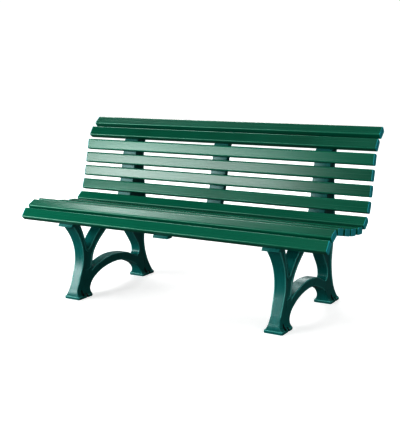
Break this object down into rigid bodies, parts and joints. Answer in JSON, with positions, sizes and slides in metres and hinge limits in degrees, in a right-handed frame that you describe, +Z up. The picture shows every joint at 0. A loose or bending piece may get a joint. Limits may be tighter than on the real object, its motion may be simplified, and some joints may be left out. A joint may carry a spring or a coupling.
{
  "type": "garden bench",
  "caption": "Green slatted plastic garden bench with a curved seat and back on two arched leg frames and a legless middle rail.",
  "frame": {"origin": "on the ground, at the middle of the bench's footprint", "axes": "+X along the bench towards its left-hand end as seen by someone sitting on it, -Y the way the seat faces, +Z up"},
  "size_m": [1.5, 0.6764, 0.8021],
  "materials": {
    "slat_plastic": "satin, fine grain along the slat",
    "cap_plastic": "satin moulded plastic",
    "frame_plastic": "satin moulded plastic",
    "fastener_steel": "zinc plated"
  },
  "bodies": {
    "root": {"seat_slat_1": "slat_plastic", "seat_slat_2": "slat_plastic", "seat_slat_3": "slat_plastic", "seat_slat_4": "slat_plastic", "seat_slat_5": "slat_plastic", "seat_slat_6": "slat_plastic", "back_slat_1": "slat_plastic", "back_slat_2": "slat_plastic", "back_slat_3": "slat_plastic", "back_slat_4": "slat_plastic", "back_slat_5": "slat_plastic", "back_slat_6": "slat_plastic", "back_slat_7": "slat_plastic", "seat_end_caps_left": "cap_plastic", "back_end_caps_left": "cap_plastic", "rail_left": "frame_plastic", "leg_frame_left": "frame_plastic", "frame_bolts_left": "fastener_steel", "frame_nuts_left": "fastener_steel", "frame_washers_left": "fastener_steel", "seat_end_caps_right": "cap_plastic", "back_end_caps_right": "cap_plastic", "rail_right": "frame_plastic", "leg_frame_right": "frame_plastic", "frame_bolts_right": "fastener_steel", "frame_nuts_right": "fastener_steel", "frame_washers_right": "fastener_steel", "rail_middle": "frame_plastic", "slat_screws_left": "fastener_steel", "slat_screws_middle": "fastener_steel", "slat_screws_right": "fastener_steel"}
  },
  "joints": []
}
